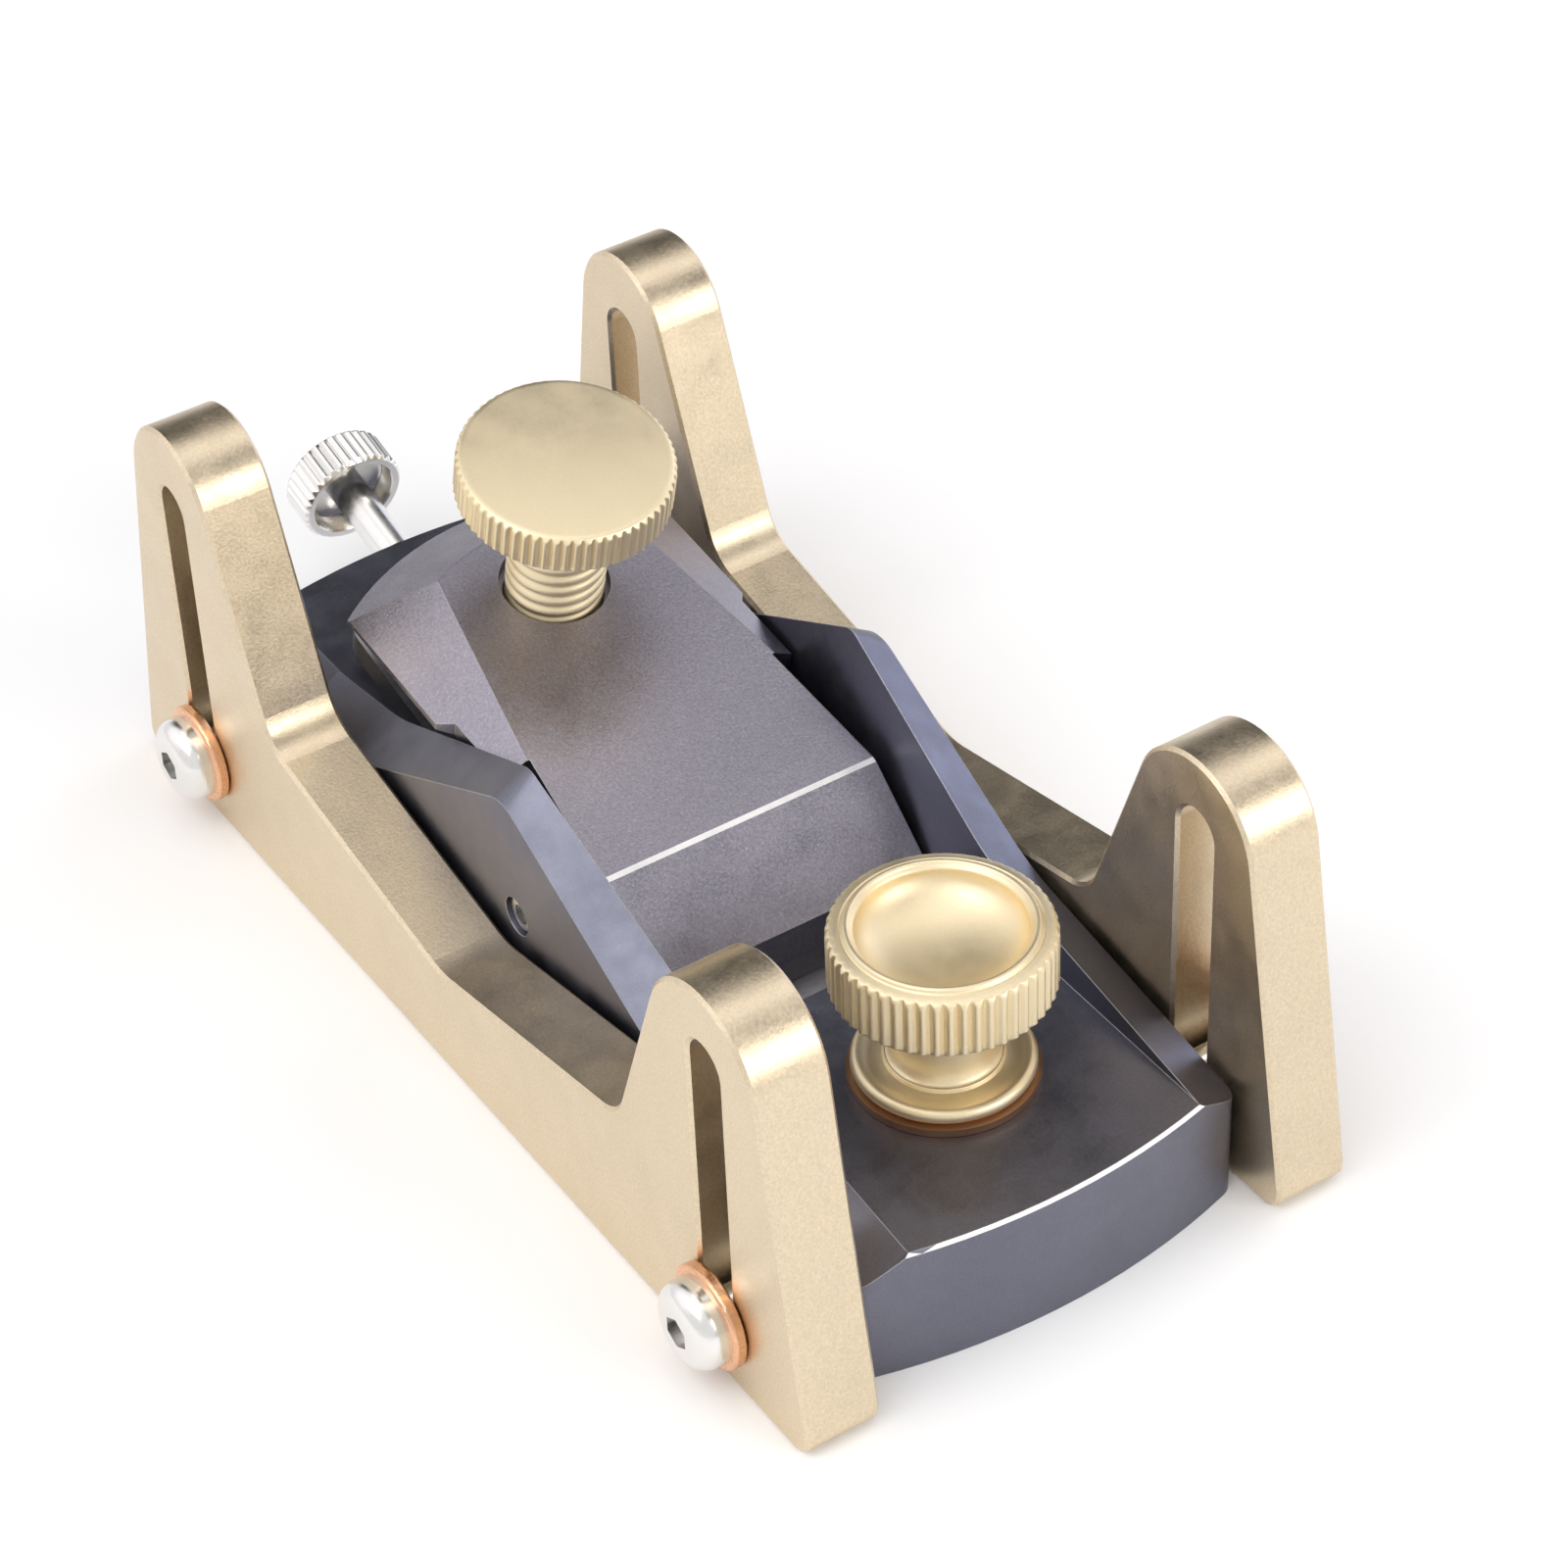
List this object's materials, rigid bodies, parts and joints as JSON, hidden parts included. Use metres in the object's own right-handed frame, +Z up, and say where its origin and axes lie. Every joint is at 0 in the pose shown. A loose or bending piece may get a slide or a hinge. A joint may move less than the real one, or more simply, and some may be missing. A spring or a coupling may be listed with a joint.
{
  "type": "hand plane",
  "caption": "Small metal low-angle hand plane with slotted side rails that set its cutting height, a lever cap, knurled knobs and a screw blade adjuster.",
  "frame": {"origin": "on the sole, on the centre line, halfway between toe and heel", "axes": "+X to the toe, +Y to the plane's left-hand side, +Z up out of the sole"},
  "size_m": [0.1371, 0.0688, 0.0493],
  "materials": {
    "grey_body": "gunmetal anodised, fine bead blast",
    "grey_cap": "grey anodised, bead blast with a fine sparkle",
    "grey_plate": "gunmetal anodised, ground sole",
    "gold_rail": "champagne anodised, bead blast",
    "gold_knob": "pale gold satin, turned and knurled",
    "polished_steel": "polished",
    "plain_steel": "turned",
    "blade_steel": "surface ground",
    "copper": "plain copper, lightly tarnished",
    "bronze": "turned"
  },
  "bodies": {
    "root": {"plane_body": "grey_body", "rail_screws": "polished_steel", "rail_washers": "copper", "cap_pin": "plain_steel", "pin_set_screws": "plain_steel", "adjuster_bush": "bronze"},
    "left_rail": {"left_rail": "gold_rail"},
    "right_rail": {"right_rail": "gold_rail"},
    "mouth_plate": {"mouth_plate": "grey_plate", "knob_stud": "plain_steel", "knob_washer": "copper"},
    "front_knob": {"front_knob": "gold_knob"},
    "lever_cap": {"lever_cap": "grey_cap"},
    "cap_screw_foot": {"cap_screw_foot": "plain_steel"},
    "cap_knob": {"cap_knob": "gold_knob"},
    "blade": {"blade": "blade_steel", "adjuster_carriage": "bronze", "carriage_peg": "plain_steel"},
    "adjuster": {"adjuster_shaft": "polished_steel", "adjuster_collar": "plain_steel", "adjuster_knob": "polished_steel"}
  },
  "joints": [
    {"name": "right_rail_slide", "type": "slide", "parent": "root", "child": "right_rail", "axis": [0, 0, 1], "range_m": [-0.0295, 0]},
    {"name": "left_rail_slide", "type": "slide", "parent": "root", "child": "left_rail", "axis": [0, 0, 1], "range_m": [-0.0295, 0]},
    {"name": "mouth_slide", "type": "slide", "parent": "root", "child": "mouth_plate", "axis": [1, 0, 0], "range_m": [-0.001, 0.002]},
    {"name": "front_knob_turn", "type": "hinge", "parent": "mouth_plate", "child": "front_knob", "pos_m": [0.0404, 0, 0.0285], "axis": [0, 0, 1], "range_deg": [0, 180]},
    {"name": "cap_pivot", "type": "hinge", "parent": "root", "child": "lever_cap", "pos_m": [0.0006, 0, 0.0154], "axis": [0, -1, 0], "range_deg": [0, 1.9]},
    {"name": "cap_screw_travel", "type": "slide", "parent": "lever_cap", "child": "cap_screw_foot", "axis": [0.247, 0, 0.969], "range_m": [0, 0.00155]},
    {"name": "cap_knob_turn", "type": "hinge", "parent": "cap_screw_foot", "child": "cap_knob", "pos_m": [-0.02595, 0, 0.0296], "axis": [0.247, 0, 0.969], "range_deg": [0, 360]},
    {"name": "blade_advance", "type": "slide", "parent": "root", "child": "blade", "axis": [0.969, 0, -0.247], "range_m": [-0.0024, 0.00057]},
    {"name": "adjuster_turn", "type": "hinge", "parent": "root", "child": "adjuster", "pos_m": [-0.06007, 0, 0.01196], "axis": [-0.969, 0, 0.247], "range_deg": [-1260, 300]}
  ],
  "couplings": [
    {"joint": "cap_screw_travel", "follows": "cap_knob_turn", "m_per_rad": 0.00023873},
    {"joint": "cap_pivot", "follows": "cap_knob_turn", "ratio": 0.004722},
    {"joint": "adjuster_turn", "follows": "blade_advance", "rad_per_m": 8976}
  ]
}
